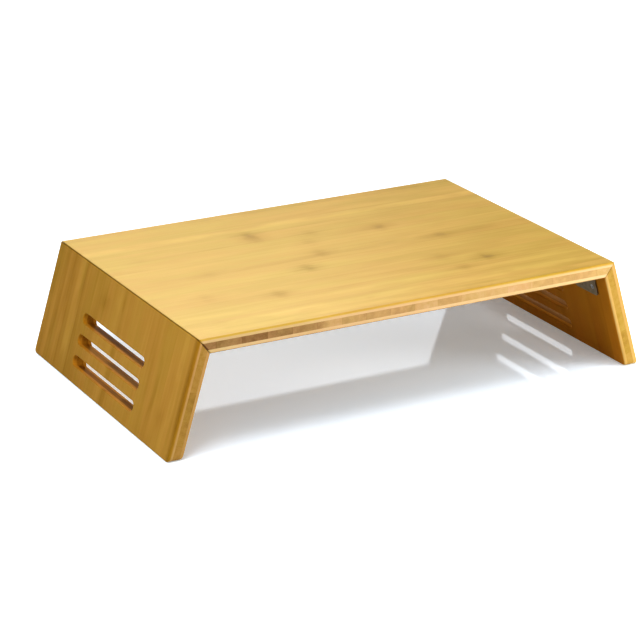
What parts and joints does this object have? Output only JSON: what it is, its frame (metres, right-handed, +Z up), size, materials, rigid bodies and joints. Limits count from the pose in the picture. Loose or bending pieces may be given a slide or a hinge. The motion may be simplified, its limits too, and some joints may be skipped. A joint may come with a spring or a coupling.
{
  "type": "laptop stand",
  "caption": "Bamboo laptop stand: a flat rectangular top on splayed, slotted side legs that meet it at mitres and fold flat under it on small butt hinges.",
  "frame": {"origin": "on the ground, under the middle of the top", "axes": "+X along the width to the right, +Y to the back, +Z up; the stand is open, as used"},
  "size_m": [0.5126, 0.316, 0.112],
  "materials": {
    "bamboo": "satin clear lacquer over three-ply caramel bamboo",
    "hinge_nickel": "nickel plated, satin",
    "screw_steel": "nickel plated"
  },
  "bodies": {
    "top": {"hinge_back_left_pin": "screw_steel", "hinge_back_left_top_leaf": "hinge_nickel", "hinge_back_right_pin": "screw_steel", "hinge_back_right_top_leaf": "hinge_nickel", "hinge_front_left_pin": "screw_steel", "hinge_front_left_top_leaf": "hinge_nickel", "hinge_front_right_pin": "screw_steel", "hinge_front_right_top_leaf": "hinge_nickel", "screw_back_left_top_1": "screw_steel", "screw_back_left_top_2": "screw_steel", "screw_back_right_top_1": "screw_steel", "screw_back_right_top_2": "screw_steel", "screw_front_left_top_1": "screw_steel", "screw_front_left_top_2": "screw_steel", "screw_front_right_top_1": "screw_steel", "screw_front_right_top_2": "screw_steel", "top_panel": "bamboo"},
    "left_leg": {"hinge_back_left_leg_leaf": "hinge_nickel", "hinge_front_left_leg_leaf": "hinge_nickel", "left_leg": "bamboo", "screw_back_left_leg_1": "screw_steel", "screw_back_left_leg_2": "screw_steel", "screw_front_left_leg_1": "screw_steel", "screw_front_left_leg_2": "screw_steel"},
    "right_leg": {"hinge_back_right_leg_leaf": "hinge_nickel", "hinge_front_right_leg_leaf": "hinge_nickel", "right_leg": "bamboo", "screw_back_right_leg_1": "screw_steel", "screw_back_right_leg_2": "screw_steel", "screw_front_right_leg_1": "screw_steel", "screw_front_right_leg_2": "screw_steel"}
  },
  "joints": [
    {"name": "left_leg_fold", "type": "hinge", "parent": "top", "child": "left_leg", "pos_m": [-0.20978, 0, 0.0942], "axis": [0, -1, 0], "range_deg": [0, 106.4]},
    {"name": "right_leg_fold", "type": "hinge", "parent": "top", "child": "right_leg", "pos_m": [0.20978, 0, 0.0942], "axis": [0, 1, 0], "range_deg": [0, 106.4]}
  ]
}
